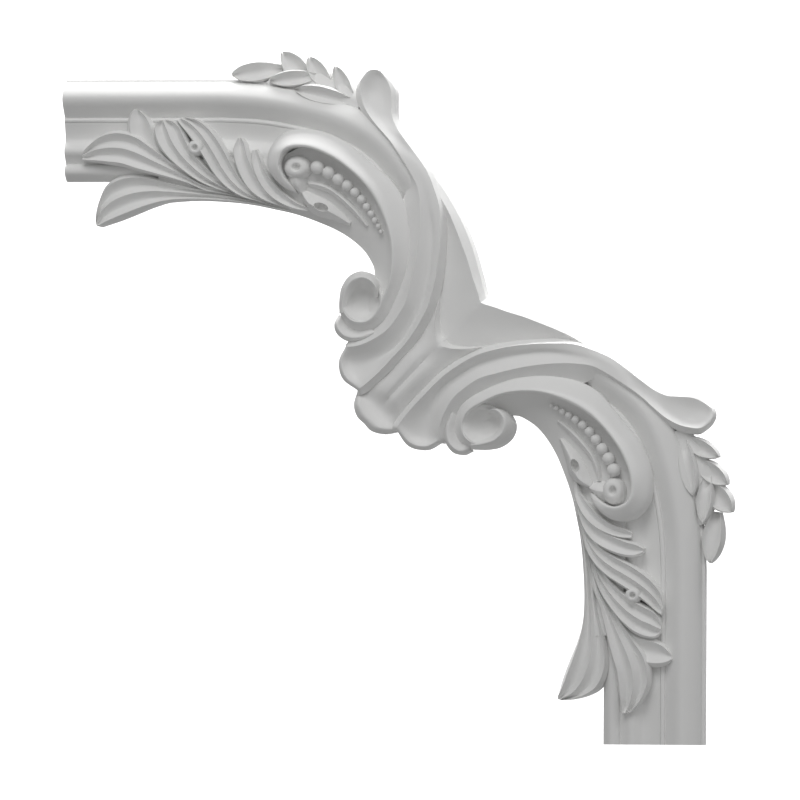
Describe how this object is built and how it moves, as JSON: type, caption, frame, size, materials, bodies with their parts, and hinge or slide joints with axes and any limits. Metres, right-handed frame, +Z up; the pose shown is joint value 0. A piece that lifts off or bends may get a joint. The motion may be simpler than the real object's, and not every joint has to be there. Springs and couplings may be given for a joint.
{
  "type": "moulding corner piece",
  "caption": "Rococo corner for wall-panel moulding: two profiled arms joined by a scrolled, leafy inner curve, cast in one with a flat back.",
  "frame": {"origin": "on the flat back, under the hub of the corner and on the line of symmetry of the carving", "axes": "+Y out of the flat back into the wall, the relief stands out towards -Y; one arm runs towards -X, the other, a little longer, towards -Z; +Z up"},
  "size_m": [0.3402, 0.0244, 0.3462],
  "materials": {
    "primed_white": "matte white factory primer on moulded rigid foam"
  },
  "bodies": {
    "root": {"corner_casting": "primed_white"}
  },
  "joints": []
}
